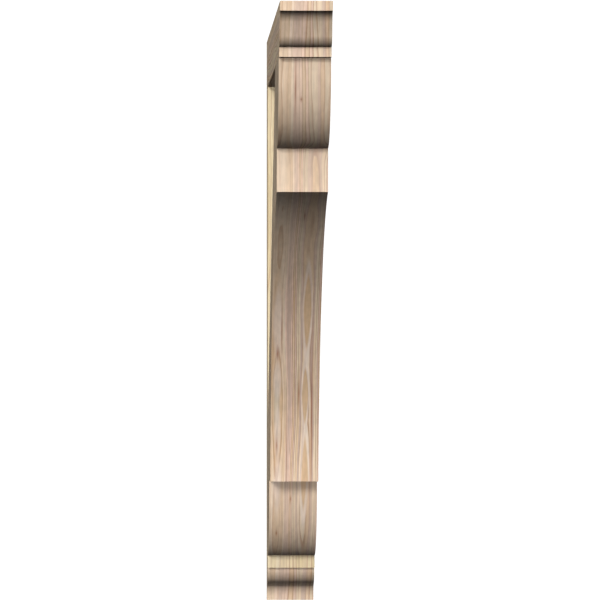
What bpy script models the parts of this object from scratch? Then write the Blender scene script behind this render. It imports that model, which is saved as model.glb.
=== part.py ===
"""Timber corbel bracket: a top arm, a wall leg and a scroll-cut brace. Metres, +Z up.

The wall is the plane y = 0 and the bracket stands out from it towards -Y. Each timber is drawn as a
side outline of (out, down) points, out from the wall and down from the bracket's top, and extruded
across the bracket's width.
"""

import math

import bmesh
import bpy

INCH = 0.0254
QUARTER_TURN = math.pi / 2

WIDTH = 3.5 * INCH
REACH = 42.0 * INCH
HEIGHT = 42.0 * INCH
ARM_DEPTH = 3.55 * INCH
LEG_DEPTH = 3.55 * INCH

# The moulding on the arm's front end and the leg's foot: a plain band, an ogee and a plain band
END_BAND = 0.66 * INCH
END_QUIRK = 0.17 * INCH
# How far each arc of the ogee turns, from its end along the timber to the slant
OGEE_TURN = math.radians(70.0)

# The brace, set in from the moulded ends by the same distance on both timbers
BRACE_SETBACK = 3.5 * INCH
BRACE_BEARING = 10.1 * INCH
OVOLO_RADIUS = 5.8 * INCH
BRACE_FLAT = 2.95 * INCH
SWEEP_RISE = 4.45 * INCH

# Clearance between timbers that touch
JOINT_GAP = 0.0003

OGEE_STEPS = 8
OVOLO_STEPS = 16
SWEEP_STEPS = 36

# Linear colours of the three timbers' wood
ARM_COLOUR = (0.66, 0.48, 0.33)
LEG_COLOUR = (0.70, 0.53, 0.32)
BRACE_COLOUR = (0.62, 0.44, 0.30)
WOOD_ROUGHNESS = 0.6


def arc(centre, radius, start, end, steps):
    """Points of a circular arc from angle start to angle end, in radians from out towards down."""
    points = []
    for step in range(steps + 1):
        angle = start + (end - start) * step / steps
        out = centre[0] + radius * math.cos(angle)
        down = centre[1] + radius * math.sin(angle)
        points.append((out, down))
    return points


def hollow_sweep(start, end, rise, steps):
    """Arc from start to end that bows by rise towards the corner of wall and top."""
    chord_out = end[0] - start[0]
    chord_down = end[1] - start[1]
    half_chord = math.hypot(chord_out, chord_down) / 2
    radius = (half_chord ** 2 + rise ** 2) / (2 * rise)
    # Unit normal of the chord, pointing away from the corner
    normal = (chord_down / (2 * half_chord), -chord_out / (2 * half_chord))
    centre_out = (start[0] + end[0]) / 2 + normal[0] * (radius - rise)
    centre_down = (start[1] + end[1]) / 2 + normal[1] * (radius - rise)
    start_angle = math.atan2(start[1] - centre_down, start[0] - centre_out)
    end_angle = math.atan2(end[1] - centre_down, end[0] - centre_out)
    # The sweep passes the side of the centre that faces the corner, by falling angles
    start_angle %= 2 * math.pi
    end_angle %= 2 * math.pi
    return arc((centre_out, centre_down), radius, start_angle, end_angle, steps)


def end_moulding(depth):
    """Points of (back from the tip, across the timber) from its outer corner to its inner face."""
    # The ogee runs back as far as it runs across, as a cove and a bead with a straight slant between them
    rise = depth - 2 * END_BAND
    radius = rise * (math.sin(OGEE_TURN) - math.cos(OGEE_TURN)) / (2 * (1 - math.cos(OGEE_TURN)))
    bead_end = END_QUIRK + rise
    cove = arc((END_QUIRK, END_BAND + radius), radius, -QUARTER_TURN, OGEE_TURN - QUARTER_TURN, OGEE_STEPS)
    bead_centre = (bead_end, depth - END_BAND - radius)
    bead = arc(bead_centre, radius, OGEE_TURN + QUARTER_TURN, QUARTER_TURN, OGEE_STEPS)
    setback = bead_end + END_QUIRK
    return [(0.0, 0.0), (0.0, END_BAND)] + cove + bead + [(setback, depth - END_BAND), (setback, depth)]


def arm_outline():
    """The horizontal timber, moulded across its front end."""
    end = [(REACH - back, down) for back, down in end_moulding(ARM_DEPTH)]
    return [(0.0, 0.0)] + end + [(0.0, ARM_DEPTH)]


def leg_outline():
    """The upright timber under the arm, moulded across its foot."""
    top = ARM_DEPTH + JOINT_GAP
    end = [(out, HEIGHT - back) for back, out in end_moulding(LEG_DEPTH)]
    return [(0.0, top)] + end + [(LEG_DEPTH, top)]


def brace_outline():
    """The scroll-cut brace: an ovolo and a flat at each end, a hollow sweep between, a straight back."""
    top = ARM_DEPTH + JOINT_GAP
    inner = LEG_DEPTH + JOINT_GAP
    nose_out = REACH - BRACE_SETBACK
    nose_down = HEIGHT - BRACE_SETBACK

    upper_centre = (nose_out - OVOLO_RADIUS, top)
    lower_centre = (inner, nose_down - OVOLO_RADIUS)
    upper_ovolo = arc(upper_centre, OVOLO_RADIUS, 0.0, QUARTER_TURN, OVOLO_STEPS)
    lower_ovolo = arc(lower_centre, OVOLO_RADIUS, 0.0, QUARTER_TURN, OVOLO_STEPS)

    sweep_start = (upper_centre[0], top + OVOLO_RADIUS + BRACE_FLAT)
    sweep_end = (inner + OVOLO_RADIUS + BRACE_FLAT, lower_centre[1])
    sweep = hollow_sweep(sweep_start, sweep_end, SWEEP_RISE, SWEEP_STEPS)

    back_top = (nose_out - BRACE_BEARING, top)
    back_foot = (inner, nose_down - BRACE_BEARING)
    return [back_top] + upper_ovolo + sweep + lower_ovolo + [back_foot]


def timber(name, outline, colour):
    """One timber: its outline extruded across the width, centred on x = 0."""
    mesh = bpy.data.meshes.new(name)
    shape = bmesh.new()
    rim = [shape.verts.new((-WIDTH / 2, -out, -down)) for out, down in outline]
    face = shape.faces.new(rim)
    extruded = bmesh.ops.extrude_face_region(shape, geom=[face])
    far_side = [part for part in extruded["geom"] if isinstance(part, bmesh.types.BMVert)]
    bmesh.ops.translate(shape, vec=(WIDTH, 0.0, 0.0), verts=far_side)
    bmesh.ops.recalc_face_normals(shape, faces=shape.faces)
    shape.to_mesh(mesh)
    shape.free()

    piece = bpy.data.objects.new(name, mesh)
    piece.location = (0.0, 0.0, HEIGHT / 2)
    bpy.context.scene.collection.objects.link(piece)
    mesh.materials.append(wood(name + "_wood", colour))
    return piece


def wood(name, colour):
    """Bare planed softwood."""
    material = bpy.data.materials.new(name)
    material.use_nodes = True
    shader = material.node_tree.nodes["Principled BSDF"]
    shader.inputs["Base Color"].default_value = (*colour, 1.0)
    shader.inputs["Roughness"].default_value = WOOD_ROUGHNESS
    shader.inputs["Metallic"].default_value = 0.0
    return material


def main():
    for old in list(bpy.data.objects):
        bpy.data.objects.remove(old)
    timber("top_arm", arm_outline(), ARM_COLOUR)
    timber("wall_leg", leg_outline(), LEG_COLOUR)
    timber("brace", brace_outline(), BRACE_COLOUR)


main()
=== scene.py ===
import math

import bmesh
import bpy
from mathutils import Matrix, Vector


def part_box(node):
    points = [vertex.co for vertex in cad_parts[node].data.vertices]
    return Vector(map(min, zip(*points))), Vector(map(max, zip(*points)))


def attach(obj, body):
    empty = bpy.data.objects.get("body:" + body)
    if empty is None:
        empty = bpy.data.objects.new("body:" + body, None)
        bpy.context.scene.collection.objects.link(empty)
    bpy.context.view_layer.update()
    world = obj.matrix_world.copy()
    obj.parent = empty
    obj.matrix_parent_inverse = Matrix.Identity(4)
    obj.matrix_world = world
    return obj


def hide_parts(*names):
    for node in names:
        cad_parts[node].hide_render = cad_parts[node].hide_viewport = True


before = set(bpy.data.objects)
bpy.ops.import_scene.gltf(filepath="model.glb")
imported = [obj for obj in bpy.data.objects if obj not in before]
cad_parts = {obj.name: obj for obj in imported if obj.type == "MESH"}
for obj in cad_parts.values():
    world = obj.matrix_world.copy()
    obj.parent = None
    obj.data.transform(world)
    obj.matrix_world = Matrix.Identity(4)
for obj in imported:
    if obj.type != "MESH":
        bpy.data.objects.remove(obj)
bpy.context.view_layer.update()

INCH = 0.0254
QUARTER_TURN = math.pi / 2

# The timbers' overall sizes come from the frame's boxes, in metres
ARM_LOW, ARM_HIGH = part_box("top_arm")
LEG_LOW, LEG_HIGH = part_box("wall_leg")
BRACE_LOW, BRACE_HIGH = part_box("brace")
TOP = ARM_HIGH[2]
WIDTH = ARM_HIGH[0] - ARM_LOW[0]
REACH = -ARM_LOW[1]
HEIGHT = TOP - LEG_LOW[2]
ARM_DEPTH = TOP - ARM_LOW[2]
LEG_DEPTH = -LEG_LOW[1]

# Sizes of the mouldings and of the brace's outline
END_BAND = 0.66 * INCH
END_QUIRK = 0.17 * INCH
# How far each arc of the ogee turns, from its end along the timber to the slant
OGEE_TURN = math.radians(70.0)
BRACE_BEARING = 10.1 * INCH
OVOLO_RADIUS = 5.8 * INCH
BRACE_FLAT = 2.95 * INCH
SWEEP_RISE = 4.45 * INCH
# Distance of the middle of the sweep from the line where the wall plane meets the top
SWEEP_MIDDLE = 27.36 * INCH

# Eased corners of the planed timber, where its surface turns by more than the corner angle
ARRIS = 0.0006
ARRIS_SEGMENTS = 2
CORNER_ANGLE = math.radians(30)

OGEE_STEPS = 20
OVOLO_STEPS = 48
SWEEP_STEPS = 140


def arc(centre, radius, start, end, steps):
    """Points of a circular arc from angle start to angle end, in radians from out towards down."""
    points = []
    for step in range(steps + 1):
        angle = start + (end - start) * step / steps
        out = centre[0] + radius * math.cos(angle)
        down = centre[1] + radius * math.sin(angle)
        points.append((out, down))
    return points


def hollow_sweep(start, end, rise, steps):
    """Arc from start to end that bows by rise towards the corner of wall and top."""
    chord_out = end[0] - start[0]
    chord_down = end[1] - start[1]
    half_chord = math.hypot(chord_out, chord_down) / 2
    radius = (half_chord ** 2 + rise ** 2) / (2 * rise)
    normal = (chord_down / (2 * half_chord), -chord_out / (2 * half_chord))
    centre_out = (start[0] + end[0]) / 2 + normal[0] * (radius - rise)
    centre_down = (start[1] + end[1]) / 2 + normal[1] * (radius - rise)
    start_angle = math.atan2(start[1] - centre_down, start[0] - centre_out) % (2 * math.pi)
    end_angle = math.atan2(end[1] - centre_down, end[0] - centre_out) % (2 * math.pi)
    return arc((centre_out, centre_down), radius, start_angle, end_angle, steps)


def end_moulding(depth):
    """Points of (back from the tip, across the timber) from its outer corner to its inner face."""
    # The ogee runs back as far as it runs across, as a cove and a bead with a straight slant between them
    rise = depth - 2 * END_BAND
    radius = rise * (math.sin(OGEE_TURN) - math.cos(OGEE_TURN)) / (2 * (1 - math.cos(OGEE_TURN)))
    bead_end = END_QUIRK + rise
    cove = arc((END_QUIRK, END_BAND + radius), radius, -QUARTER_TURN, OGEE_TURN - QUARTER_TURN, OGEE_STEPS)
    bead_centre = (bead_end, depth - END_BAND - radius)
    bead = arc(bead_centre, radius, OGEE_TURN + QUARTER_TURN, QUARTER_TURN, OGEE_STEPS)
    setback = bead_end + END_QUIRK
    return [(0.0, 0.0), (0.0, END_BAND)] + cove + bead + [(setback, depth - END_BAND), (setback, depth)]


def arm_outline():
    end = [(REACH - back, down) for back, down in end_moulding(ARM_DEPTH)]
    return [(0.0, 0.0)] + end + [(0.0, ARM_DEPTH)]


def leg_outline():
    top = TOP - LEG_HIGH[2]
    end = [(out, HEIGHT - back) for back, out in end_moulding(LEG_DEPTH)]
    return [(0.0, top)] + end + [(LEG_DEPTH, top)]


def brace_outline():
    """An ovolo and a flat at each end, a hollow sweep between them, and a straight back."""
    top = TOP - BRACE_HIGH[2]
    inner = -BRACE_HIGH[1]
    nose_out = -BRACE_LOW[1]
    nose_down = TOP - BRACE_LOW[2]
    upper_centre = (nose_out - OVOLO_RADIUS, top)
    lower_centre = (inner, nose_down - OVOLO_RADIUS)
    upper_ovolo = arc(upper_centre, OVOLO_RADIUS, 0.0, QUARTER_TURN, OVOLO_STEPS)
    lower_ovolo = arc(lower_centre, OVOLO_RADIUS, 0.0, QUARTER_TURN, OVOLO_STEPS)
    sweep_start = (upper_centre[0], top + OVOLO_RADIUS + BRACE_FLAT)
    sweep_end = (inner + OVOLO_RADIUS + BRACE_FLAT, lower_centre[1])
    sweep = hollow_sweep(sweep_start, sweep_end, SWEEP_RISE, SWEEP_STEPS)
    back_top = (nose_out - BRACE_BEARING, top)
    back_foot = (inner, nose_down - BRACE_BEARING)
    return [back_top] + upper_ovolo + sweep + lower_ovolo + [back_foot]


def timber(name, node, outline, material):
    """One timber with eased outer corners, standing for its solid in the frame."""
    shape = bmesh.new()
    rim = [shape.verts.new((-WIDTH / 2, -out, TOP - down)) for out, down in outline]
    face = shape.faces.new(rim)
    extruded = bmesh.ops.extrude_face_region(shape, geom=[face])
    far_side = [part for part in extruded["geom"] if isinstance(part, bmesh.types.BMVert)]
    bmesh.ops.translate(shape, vec=(WIDTH, 0.0, 0.0), verts=far_side)
    bmesh.ops.recalc_face_normals(shape, faces=shape.faces)
    eased = shape.edges.layers.float.new("bevel_weight_edge")
    for edge in shape.edges:
        if edge.is_convex and edge.calc_face_angle() > CORNER_ANGLE:
            edge[eased] = 1.0
    mesh = bpy.data.meshes.new(name)
    shape.to_mesh(mesh)
    shape.free()
    mesh.shade_smooth()
    mesh.set_sharp_from_angle(angle=CORNER_ANGLE)
    mesh.materials.append(material)

    piece = bpy.data.objects.new(name, mesh)
    bpy.context.scene.collection.objects.link(piece)
    easing = piece.modifiers.new("eased corners", "BEVEL")
    easing.limit_method = "WEIGHT"
    easing.width = ARRIS
    easing.segments = ARRIS_SEGMENTS
    easing.harden_normals = True
    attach(piece, "root")
    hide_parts(node)


def linear(red, green, blue):
    """A display colour in 0 to 255 as a linear colour."""
    def channel(value):
        value /= 255
        return value / 12.92 if value <= 0.04045 else ((value + 0.055) / 1.055) ** 2.4
    return (channel(red), channel(green), channel(blue), 1.0)


# 2 gives round islands in the wood's figure, and 1 gives lozenges
TIP_SHARPNESS = 1.45


class Graph:
    """Short names for the shader nodes that the wood is made of."""

    def __init__(self, name):
        self.material = bpy.data.materials.new(name)
        self.material.use_nodes = True
        self.tree = self.material.node_tree
        self.shader = self.tree.nodes["Principled BSDF"]

    def feed(self, socket, value):
        if isinstance(value, bpy.types.NodeSocket):
            self.tree.links.new(value, socket)
        else:
            socket.default_value = value

    def math(self, operation, *values):
        node = self.tree.nodes.new("ShaderNodeMath")
        node.operation = operation
        for socket, value in zip(node.inputs, values):
            self.feed(socket, value)
        return node.outputs[0]

    def point(self, x, y, z):
        node = self.tree.nodes.new("ShaderNodeCombineXYZ")
        for socket, value in zip(node.inputs, (x, y, z)):
            self.feed(socket, value)
        return node.outputs[0]

    def noise(self, place, detail):
        """Smooth noise about zero, from about -1 to 1."""
        node = self.tree.nodes.new("ShaderNodeTexNoise")
        node.inputs["Scale"].default_value = 1.0
        node.inputs["Detail"].default_value = detail
        self.feed(node.inputs["Vector"], place)
        return self.math("MULTIPLY_ADD", node.outputs["Fac"], 2.0, -1.0)

    def split(self, vector):
        node = self.tree.nodes.new("ShaderNodeSeparateXYZ")
        self.feed(node.inputs[0], vector)
        return tuple(node.outputs)

    def blend(self, factor, first, second):
        """first where factor is 0 and second where it is 1, of two numbers."""
        node = self.tree.nodes.new("ShaderNodeMix")
        self.feed(node.inputs[0], factor)
        self.feed(node.inputs[2], first)
        self.feed(node.inputs[3], second)
        return node.outputs[0]

    def hump(self, grain, along, across, half_length, half_width):
        """1 at a place on a timber's front, falling to 0 around it, with slender tips along the grain."""
        axes = ((grain.along, along, half_length), (grain.width, across, half_width))
        distance = 0.0
        for coordinate, middle, half in axes:
            offset = self.math("DIVIDE", self.math("SUBTRACT", coordinate, middle), half)
            offset = self.math("POWER", self.math("ABSOLUTE", offset), TIP_SHARPNESS)
            distance = self.math("ADD", offset, distance)
        return self.math("EXPONENT", self.math("MULTIPLY", distance, -1.0))

    def highest(self, grain, places):
        """The highest of the humps at places, each (along, across, half length, half width)."""
        top = 0.0
        for place in places:
            top = self.math("MAXIMUM", self.hump(grain, *place), top)
        return top

    def per_ring(self, ring):
        """A random number from 0 to 1 for each whole ring."""
        node = self.tree.nodes.new("ShaderNodeTexWhiteNoise")
        node.noise_dimensions = "1D"
        self.feed(node.inputs["W"], ring)
        return node.outputs["Value"]

    def smooth_step(self, value, low, high):
        node = self.tree.nodes.new("ShaderNodeMapRange")
        node.interpolation_type = "SMOOTHSTEP"
        self.feed(node.inputs["Value"], value)
        node.inputs["From Min"].default_value = low
        node.inputs["From Max"].default_value = high
        return node.outputs["Result"]

    def mix(self, factor, first, second, mode="MIX"):
        """first where factor is 0 and second where it is 1, of two colours, or their product."""
        node = self.tree.nodes.new("ShaderNodeMix")
        node.data_type = "RGBA"
        node.blend_type = mode
        self.feed(node.inputs[0], factor)
        self.feed(node.inputs[6], first)
        self.feed(node.inputs[7], second)
        return node.outputs[2]

    def ramp(self, value, stops):
        """Colours along 0 to 1, from a list of (position, colour)."""
        node = self.tree.nodes.new("ShaderNodeValToRGB")
        elements = node.color_ramp.elements
        for _ in range(len(stops) - 2):
            elements.new(0.5)
        for element, (position, colour) in zip(elements, stops):
            element.position = position
            element.color = colour
        self.feed(node.inputs["Fac"], value)
        return node.outputs["Color"]


# Early wood's colour from ring to ring, and the late wood that ends a ring
HEARTWOOD = (
    (0.00, linear(207, 180, 163)),
    (0.20, linear(240, 208, 187)),
    (0.40, linear(246, 226, 202)),
    (0.60, linear(222, 188, 150)),
    (0.80, linear(238, 218, 190)),
    (1.00, linear(206, 186, 158)),
)
SAPWOOD = (
    (0.00, linear(226, 203, 166)),
    (0.35, linear(240, 223, 192)),
    (0.70, linear(232, 212, 170)),
    (1.00, linear(214, 193, 150)),
)
LATEWOOD = linear(180, 130, 92)
RESIN = linear(158, 94, 62)
CREST_CORE = linear(216, 179, 136)
CREST_RIM = linear(238, 218, 203)

# Width of a growth ring, in inches
RING = 0.27

# Layers of noise: features per inch across the grain and along it, shift from the seed, and detail
WANDER = (0.42, 0.06, 0.0, 2.0)
RIPPLE = (1.5, 0.17, 7.0, 2.0)
DRIFT = (0.9, 0.05, 3.0, 2.0)
FIBRE = (11.0, 0.5, 0.0, 3.0)
MOTTLE = (4.0, 1.3, 5.0, 3.0)

# A face is a timber's side where its normal points further sideways than this
SIDEWAYS = 0.7


class Grain:
    """A point's place in its timber, in inches: across the face it lies on, deep and along the grain."""

    def __init__(self, graph, tilt, centre):
        # tilt turns the grain upright, and centre is the timber's middle after that
        coordinates = graph.tree.nodes.new("ShaderNodeTexCoord")
        turn = graph.tree.nodes.new("ShaderNodeMapping")
        turn.inputs["Rotation"].default_value = (tilt, 0.0, 0.0)
        turn.inputs["Scale"].default_value = (1 / INCH, 1 / INCH, 1 / INCH)
        turn.inputs["Location"].default_value = (0.0, -centre[0] / INCH, -centre[1] / INCH)
        graph.feed(turn.inputs["Vector"], coordinates.outputs["Object"])
        self.width, self.deep, self.along = graph.split(turn.outputs[0])

        geometry = graph.tree.nodes.new("ShaderNodeNewGeometry")
        sideways = graph.split(geometry.outputs["True Normal"])[0]
        self.on_side = graph.math("GREATER_THAN", graph.math("ABSOLUTE", sideways), SIDEWAYS)
        # How far the surface turns up or down from upright, from 0 to 1, which sets the painted shade on
        # the ogees
        self.turned = graph.math("ABSOLUTE", graph.split(geometry.outputs["Normal"])[2])
        self.across = graph.blend(self.on_side, self.width, self.deep)

    def noise(self, graph, layer, seed):
        """A layer of noise, squeezed across the grain and drawn out along it."""
        across, lengthwise, shift, detail = layer
        place = graph.point(
            graph.math("MULTIPLY_ADD", self.across, across, seed + shift),
            graph.math("MULTIPLY_ADD", self.deep, lengthwise, seed + shift),
            graph.math("MULTIPLY", self.along, lengthwise),
        )
        return graph.noise(place, detail)


def straight_figure(graph, grain):
    """Count of rings on a face where they run straight along the timber."""
    return graph.math("DIVIDE", grain.across, RING)


# The brace's front is sawn so that its rings turn back along two lines, at a crest and at a hollow
CREST_LINE = 0.78
HOLLOW_LINE = -1.27
RINGS_BETWEEN = 10.0
# Where a ring is cut off at its turn: (along, across, half length, half width), in inches
CRESTS = (
    (1.2, 0.78, 6.5, 0.50),
    (8.5, 0.72, 3.8, 0.40),
    (14.9, 0.75, 6.2, 0.50),
)
HOLLOWS = (
    (-25.5, -1.20, 4.6, 0.45),
    (-6.0, -1.20, 7.0, 0.60),
    (8.7, -1.30, 6.0, 0.62),
    (21.8, -1.22, 5.8, 0.60),
)
# Pale wood between the hollow's islands, in the same form
PALES = (
    (2.4, -1.32, 4.6, 0.42),
    (7.3, -1.28, 2.2, 0.36),
    (11.2, -1.25, 2.6, 0.28),
    (15.6, -1.20, 3.8, 0.42),
)
# The ovolo at the brace's upper end is cut where the rings run straight again
STRAIGHT_FROM = -15.5
STRAIGHT_TO = -18.5
# How many rings a cut takes off at its middle
RINGS_CUT = 1.5


def brace_figure(graph, grain):
    """Count of rings on the brace, with long islands on its front where a ring is cut at its turn."""
    half_turns = graph.math("SUBTRACT", grain.width, CREST_LINE)
    phase = graph.math("MULTIPLY", half_turns, math.pi / (CREST_LINE - HOLLOW_LINE))
    rings = graph.math("MULTIPLY", graph.math("COSINE", phase), RINGS_BETWEEN / 2)
    straight = graph.smooth_step(grain.along, STRAIGHT_FROM, STRAIGHT_TO)
    rings = graph.blend(straight, rings, straight_figure(graph, grain))
    rings = graph.math("MULTIPLY_ADD", graph.highest(grain, CRESTS), RINGS_CUT, rings)
    rings = graph.math("MULTIPLY_ADD", graph.highest(grain, HOLLOWS), -RINGS_CUT, rings)
    return graph.blend(grain.on_side, rings, straight_figure(graph, grain))


# Resin streaks and pin knots on the brace's front: (along, across, half length, half width)
FLECKS = (
    (5.2, -1.30, 0.60, 0.09),
    (12.1, -1.30, 0.60, 0.08),
    (8.4, 0.26, 1.30, 0.07),
    (-22.3, -0.22, 0.17, 0.07),
    (-9.8, 0.30, 0.90, 0.06),
    (17.6, -0.20, 0.20, 0.06),
    (20.4, -1.20, 0.30, 0.07),
    (10.0, 1.20, 6.0, 0.07),
    (3.0, -1.02, 2.4, 0.05),
    (12.5, -0.60, 4.5, 0.04),
    (-23.0, -0.62, 2.2, 0.05),
)

# Paler and darker stretches of the brace: (along, half length, change in lightness)
BRACE_STRETCHES = (
    (-23.6, 1.4, -0.05),
    (-19.2, 1.4, -0.12),
    (-11.0, 3.0, 0.14),
    (-2.8, 3.2, -0.12),
    (8.3, 2.6, -0.10),
    (14.0, 3.4, 0.11),
)


def average(palette):
    """The mean colour of a palette."""
    return tuple(sum(colour[channel] for _, colour in palette) / len(palette) for channel in range(4))


# How far the slow and the quick noise move the rings, counted in rings
WANDER_RINGS = 2.4
RIPPLE_RINGS = 0.7
# How far the drift moves a ring along its palette
DRIFT_SHIFT = 0.35
# Parts of a ring, from none to full, over which its late wood comes in and goes out
LATE_IN = (0.50, 0.90)
LATE_OUT = (1.0, 0.94)
# A late-wood line's least strength, what it may gain from ring to ring, and how rare a strong one is
LINE_LEAST = 0.15
LINE_GAIN = 0.80
LINE_RARITY = 1.5
# Depth over which sapwood passes to heartwood, in inches
SAPWOOD_EDGE = 0.3
# Places along the grain between which a timber's rings pass to the evenness of its lower and upper ends
LOWER_END = (12.5, 16.5)
UPPER_END = (4.0, -8.0)
# Levels of a hump between which a crest's rim, the hollow's pale wood and a crest's core come in
RIM_EDGE = (0.42, 0.55)
PALE_EDGE = (0.3, 0.7)
CORE_EDGE = (0.6, 0.72)
# How far each colour covers the rings under it
RIM_COVER = 0.6
CORE_COVER = 0.8
RESIN_COVER = 0.75
# How far the fibres and the mottling change the lightness
FIBRE_SHADE = 0.13
MOTTLE_SHADE = 0.17
# A half width, in inches, that takes in the whole of a timber's width
WHOLE_WIDTH = 100.0
# How much painted shade darkens an ogee where its face turns from upright, by a power of that turn
PAINTED_SHADE_DEPTH = 0.55
PAINTED_SHADE_POWER = 0.62
# Roughness of early wood, and what late wood and the fibres add to it
ROUGHNESS = 0.64
LATE_ROUGHNESS = -0.1
FIBRE_ROUGHNESS = 0.06
SPECULAR = 0.2
# Relief of the fibres: its strength, its height in metres, and how proud late wood stands beside them
RELIEF_STRENGTH = 0.25
RELIEF_HEIGHT = 0.0002
LATE_RELIEF = 0.5


def ring_and_late_wood(graph, grain, figure, seed):
    """The number of the ring at a point, and from 0 to 1 how late in the ring the wood there is."""
    wander = grain.noise(graph, WANDER, seed)
    ripple = grain.noise(graph, RIPPLE, seed)
    rings = graph.math("MULTIPLY_ADD", wander, WANDER_RINGS, figure(graph, grain))
    rings = graph.math("MULTIPLY_ADD", ripple, RIPPLE_RINGS, rings)
    ring = graph.math("FLOOR", rings)
    age = graph.math("FRACT", rings)
    late = graph.math("MULTIPLY", graph.smooth_step(age, *LATE_IN), graph.smooth_step(age, *LATE_OUT))
    return ring, late


def ring_colours(graph, grain, ring, late, seed, evenness, sapwood_from):
    """Early wood that changes from ring to ring, late-wood lines, and how even they are."""
    drift = grain.noise(graph, DRIFT, seed)
    tone = graph.math("MULTIPLY_ADD", drift, DRIFT_SHIFT, graph.per_ring(ring))
    colour = graph.ramp(tone, HEARTWOOD)
    plain = average(HEARTWOOD)
    if sapwood_from is not None:
        pale = graph.smooth_step(grain.deep, sapwood_from + SAPWOOD_EDGE, sapwood_from)
        colour = graph.mix(pale, colour, graph.ramp(tone, SAPWOOD))
        plain = graph.mix(pale, plain, average(SAPWOOD))
    # Half a ring on, so that a line's strength doesn't follow its ring's colour
    strength = graph.math("POWER", graph.per_ring(graph.math("ADD", ring, 0.5)), LINE_RARITY)
    strength = graph.math("MULTIPLY_ADD", strength, LINE_GAIN, LINE_LEAST)
    colour = graph.mix(graph.math("MULTIPLY", late, strength), colour, LATEWOOD)
    lower_end = graph.smooth_step(grain.along, *LOWER_END)
    upper_end = graph.smooth_step(grain.along, *UPPER_END)
    outward = graph.math("MAXIMUM", lower_end, upper_end)
    return graph.mix(graph.blend(outward, *evenness), colour, plain)


def cut_rings(graph, grain, colour, crests, pales):
    """Add the rims and cores of the rings that are cut at a crest, and the hollow's pale wood."""
    crest = graph.math("SUBTRACT", graph.highest(grain, crests), grain.on_side)
    between = graph.math("SUBTRACT", graph.highest(grain, pales), grain.on_side)
    rim = graph.smooth_step(crest, *RIM_EDGE)
    rim = graph.math("MAXIMUM", rim, graph.smooth_step(between, *PALE_EDGE))
    colour = graph.mix(graph.math("MULTIPLY", rim, RIM_COVER), colour, CREST_RIM)
    core = graph.smooth_step(crest, *CORE_EDGE)
    return graph.mix(graph.math("MULTIPLY", core, CORE_COVER), colour, CREST_CORE)


def painted_ogee_shade(graph, grain, ogee):
    """How strongly shade is painted on an ogee, from 0 to 1."""
    start, full, stop, reach = ogee
    painted_dark = graph.math("POWER", grain.turned, PAINTED_SHADE_POWER)
    painted_dark = graph.math("MULTIPLY", painted_dark, graph.smooth_step(grain.along, start, full))
    painted_dark = graph.math("MULTIPLY", painted_dark, graph.math("LESS_THAN", grain.along, stop))
    within = graph.math("LESS_THAN", graph.math("ABSOLUTE", grain.deep), reach)
    return graph.math("MULTIPLY", painted_dark, within)


def finish_surface(graph, colour, late, fibre):
    """Give the shader its colour, its roughness and the relief of planed wood."""
    shader = graph.shader
    graph.feed(shader.inputs["Base Color"], colour)
    roughness = graph.math("MULTIPLY_ADD", late, LATE_ROUGHNESS, ROUGHNESS)
    roughness = graph.math("MULTIPLY_ADD", fibre, FIBRE_ROUGHNESS, roughness)
    graph.feed(shader.inputs["Roughness"], roughness)
    shader.inputs["Specular IOR Level"].default_value = SPECULAR

    relief = graph.tree.nodes.new("ShaderNodeBump")
    relief.inputs["Strength"].default_value = RELIEF_STRENGTH
    relief.inputs["Distance"].default_value = RELIEF_HEIGHT
    graph.feed(relief.inputs["Height"], graph.math("MULTIPLY_ADD", late, LATE_RELIEF, fibre))
    graph.feed(shader.inputs["Normal"], relief.outputs[0])


def wood(
    name, tilt, centre, figure, seed, lightness=1.0, evenness=(0.0, 0.0), side_change=0.0,
    sapwood_from=None, ogee=None, crests=(), pales=(), flecks=(), stretches=(),
):
    """Bare planed softwood, from the ring count that figure gives.

    evenness is how far the rings' colours are drawn together in the timber's middle part and at its
    ends. side_change is how much lighter its side faces are. sapwood_from is the depth in inches,
    before the timber's middle, from which it is pale sapwood. ogee is where along the timber the
    painted shade on its ogee starts, is full and stops, and how far it reaches from the timber's middle.
    """
    graph = Graph(name)
    grain = Grain(graph, tilt, centre)
    ring, late = ring_and_late_wood(graph, grain, figure, seed)
    colour = ring_colours(graph, grain, ring, late, seed, evenness, sapwood_from)
    if crests:
        colour = cut_rings(graph, grain, colour, crests, pales)
    if flecks:
        fleck = graph.math("SUBTRACT", graph.highest(grain, flecks), grain.on_side)
        colour = graph.mix(graph.math("MULTIPLY", fleck, RESIN_COVER), colour, RESIN)

    fibre = grain.noise(graph, FIBRE, seed)
    mottle = grain.noise(graph, MOTTLE, seed)
    shade = graph.math("MULTIPLY_ADD", mottle, MOTTLE_SHADE, lightness)
    shade = graph.math("MULTIPLY_ADD", fibre, FIBRE_SHADE, shade)
    shade = graph.math("MULTIPLY_ADD", grain.on_side, side_change, shade)
    for middle, half_length, change in stretches:
        stretch = graph.hump(grain, middle, 0.0, half_length, WHOLE_WIDTH)
        shade = graph.math("MULTIPLY_ADD", stretch, change, shade)
    # Painted shade: the ogee is darkened where its face turns from upright, standing in for the shade the
    # mouldings cast on it
    if ogee:
        shade = graph.math("MULTIPLY_ADD", painted_ogee_shade(graph, grain, ogee), -PAINTED_SHADE_DEPTH, shade)
    colour = graph.mix(1.0, colour, graph.point(shade, shade, shade), "MULTIPLY")
    finish_surface(graph, colour, late, fibre)
    return graph.material


# Turns about the width that set the grain of the arm and of the brace upright
ARM_TURN = math.radians(90)
BRACE_TURN = math.radians(135)
# Where the painted shade on an ogee starts, is full and stops at its last quirk, in inches from the
# timber's tip
ARM_PAINTED_SHADE = (0.05, 0.15, 2.48)
LEG_PAINTED_SHADE = (1.1, 1.5, 2.48)
# How far the painted shade keeps from a timber's outer and inner faces, in inches
PAINTED_SHADE_MARGIN = 0.6


def painted_shade_limits(tip, places, depth):
    """The span of painted shade on the ogee that wood takes, for a timber of a depth in metres whose tip
    is at tip in inches.
    """
    start, full, stop = (tip + place for place in places)
    return start, full, stop, depth / 2 / INCH - PAINTED_SHADE_MARGIN


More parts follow.
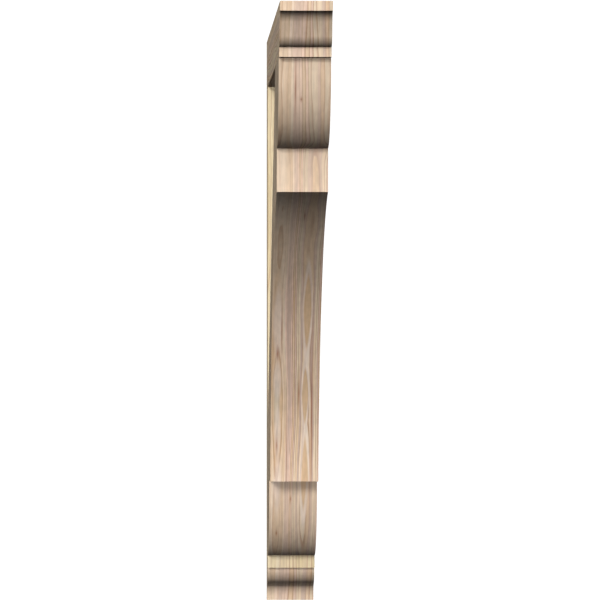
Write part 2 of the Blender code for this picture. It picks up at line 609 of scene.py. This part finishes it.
def make_timbers():
    arm_middle = TOP - ARM_DEPTH / 2
    arm = wood(
        "arm softwood", ARM_TURN, (-arm_middle, 0.0), straight_figure, seed=3.0,
        lightness=1.06, evenness=(0.32, 0.32), side_change=0.03,
        # The arm's ogee gets painted shade where its face turns from upright
        ogee=painted_shade_limits(-REACH / INCH, ARM_PAINTED_SHADE, ARM_DEPTH),
    )
    timber("top_arm_timber", "top_arm", arm_outline(), arm)

    leg = wood(
        "leg softwood", 0.0, (-LEG_DEPTH / 2, 0.0), straight_figure, seed=17.0,
        lightness=1.04, evenness=(0.3, 0.3), sapwood_from=-1.5,
        # The leg's ogee gets painted shade where its face turns from upright
        ogee=painted_shade_limits(LEG_LOW[2] / INCH, LEG_PAINTED_SHADE, LEG_DEPTH),
    )
    timber("wall_leg_timber", "wall_leg", leg_outline(), leg)

    # The brace's grain lies along its straight back, with the middle of the sweep as its zero
    sweep_middle = SWEEP_MIDDLE - TOP / math.sqrt(2)
    brace = wood(
        "brace softwood", BRACE_TURN, (sweep_middle, -TOP / math.sqrt(2)), brace_figure, seed=9.0,
        lightness=1.02, evenness=(0.0, 0.43), side_change=-0.12,
        crests=CRESTS, pales=PALES, flecks=FLECKS, stretches=BRACE_STRETCHES,
    )
    timber("brace_timber", "brace", brace_outline(), brace)


# The view: the front face seen almost head on, from a little to its left at about mid-height
CAMERA_DISTANCE = 288.5 * INCH
CAMERA_SIDE = -8.63 * INCH
CAMERA_BELOW_TOP = 21.57 * INCH
AIM_SIDE = -0.43 * INCH
AIM_BELOW_TOP = 19.71 * INCH
SENSOR = 36.0
LENS = 263.1
FARTHEST_SEEN = 200.0


def make_camera():
    data = bpy.data.cameras.new("camera")
    data.sensor_width = SENSOR
    data.lens = LENS
    data.clip_end = FARTHEST_SEEN
    camera = bpy.data.objects.new("camera", data)
    camera.location = (CAMERA_SIDE, -REACH - CAMERA_DISTANCE, TOP - CAMERA_BELOW_TOP)
    aim = Vector((AIM_SIDE, -REACH, TOP - AIM_BELOW_TOP))
    camera.rotation_euler = (aim - camera.location).to_track_quat("-Z", "Y").to_euler()
    bpy.context.scene.collection.objects.link(camera)
    bpy.context.scene.camera = camera


LIGHT_DISTANCE = 6.0


def far_light(name, azimuth, elevation, strength, softness, shadow=True, colour=(1.0, 1.0, 1.0)):
    """Even light from azimuth (from the front, positive to the right) and elevation, in degrees."""
    data = bpy.data.lights.new(name, "SUN")
    data.color = colour
    data.energy = strength
    data.angle = math.radians(softness)
    data.use_shadow = shadow
    data.cycles.max_bounces = 0
    light = bpy.data.objects.new(name, data)
    turn = math.radians(azimuth)
    rise = math.radians(elevation)
    away = Vector((math.sin(turn) * math.cos(rise), -math.cos(turn) * math.cos(rise), math.sin(rise)))
    light.location = away * LIGHT_DISTANCE
    light.rotation_euler = away.to_track_quat("Z", "Y").to_euler()
    bpy.context.scene.collection.objects.link(light)


# Strength of the pale surroundings, as the camera sees them and as light on the bracket
BACKDROP = 1.1
AMBIENT = 0.05


def pale_glow(nodes, links, shader):
    """Make a shader's strength the backdrop's to the camera and a faint ambient to everything else."""
    seen = nodes.new("ShaderNodeLightPath")
    strength = nodes.new("ShaderNodeMath")
    strength.operation = "MULTIPLY_ADD"
    strength.inputs[1].default_value = BACKDROP - AMBIENT
    strength.inputs[2].default_value = AMBIENT
    links.new(seen.outputs["Is Camera Ray"], strength.inputs[0])
    links.new(strength.outputs[0], shader.inputs["Strength"])
    shader.inputs["Color"].default_value = (1.0, 1.0, 1.0, 1.0)


def make_lights():
    # Name, azimuth, elevation, strength and softness, the angles in degrees
    far_light("key", -15, 14.5, 1.62, 14)
    far_light("upper key", -5, 38, 0.52, 25)
    far_light("front fill", -6, 20, 1.02, 20, shadow=False)
    far_light("low fill", -6, -10, 0.12, 20, shadow=False, colour=(0.80, 0.95, 1.30))
    far_light("left fill", -95, 10, 0.34, 20, shadow=False, colour=(0.90, 1.0, 0.84))
    far_light("right fill", 100, 15, 1.6, 30)
    far_light("back fill", 170, 25, 2.3, 40)

    world = bpy.data.worlds.new("studio")
    bpy.context.scene.world = world
    world.use_nodes = True
    nodes = world.node_tree.nodes
    pale_glow(nodes, world.node_tree.links, nodes["Background"])


FLOOR_DROP = 6.0
FLOOR_SIZE = 60.0


def make_floor():
    """A plain pale floor, well below the bracket."""
    mesh = bpy.data.meshes.new("floor")
    half = FLOOR_SIZE / 2
    level = LEG_LOW[2] - FLOOR_DROP
    corners = [(-half, -half, level), (half, -half, level), (half, half, level), (-half, half, level)]
    mesh.from_pydata(corners, [], [(0, 1, 2, 3)])
    floor = bpy.data.objects.new("floor", mesh)
    bpy.context.scene.collection.objects.link(floor)
    material = bpy.data.materials.new("pale floor")
    material.use_nodes = True
    nodes = material.node_tree.nodes
    nodes.remove(nodes["Principled BSDF"])
    glow = nodes.new("ShaderNodeEmission")
    pale_glow(nodes, material.node_tree.links, glow)
    material.node_tree.links.new(glow.outputs[0], nodes["Material Output"].inputs["Surface"])
    mesh.materials.append(material)


make_camera()
make_timbers()
make_lights()
make_floor()
bpy.context.scene.view_settings.view_transform = "Standard"
